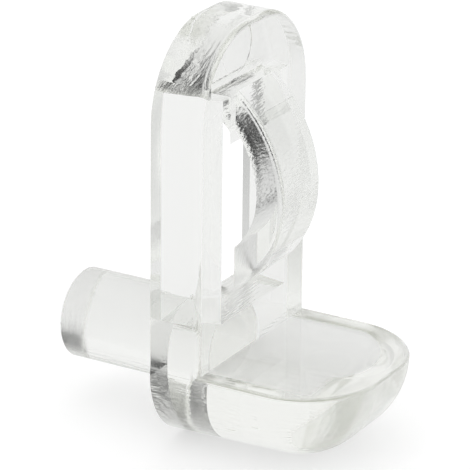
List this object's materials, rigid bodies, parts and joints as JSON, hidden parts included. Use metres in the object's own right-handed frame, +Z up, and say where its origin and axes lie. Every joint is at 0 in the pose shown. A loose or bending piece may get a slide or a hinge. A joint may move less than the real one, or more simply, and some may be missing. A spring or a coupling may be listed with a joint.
{
  "type": "shelf support pin",
  "caption": "Clear moulded shelf support: a round peg for the cabinet side, an upright plate with a bowed leaf spring in its window, and a round-bellied ledge under the shelf.",
  "frame": {"origin": "where the axis of the peg meets the back face of the plate", "axes": "+X out of the cabinet side along the ledge, +Y across the plate, +Z up"},
  "size_m": [0.019, 0.0114, 0.0232],
  "materials": {
    "clear_plastic": "clear colourless plastic, polished, with a fine moulded grain on the spring's hollow face and under the head"
  },
  "bodies": {
    "root": {"shelf_support": "clear_plastic"}
  },
  "joints": []
}
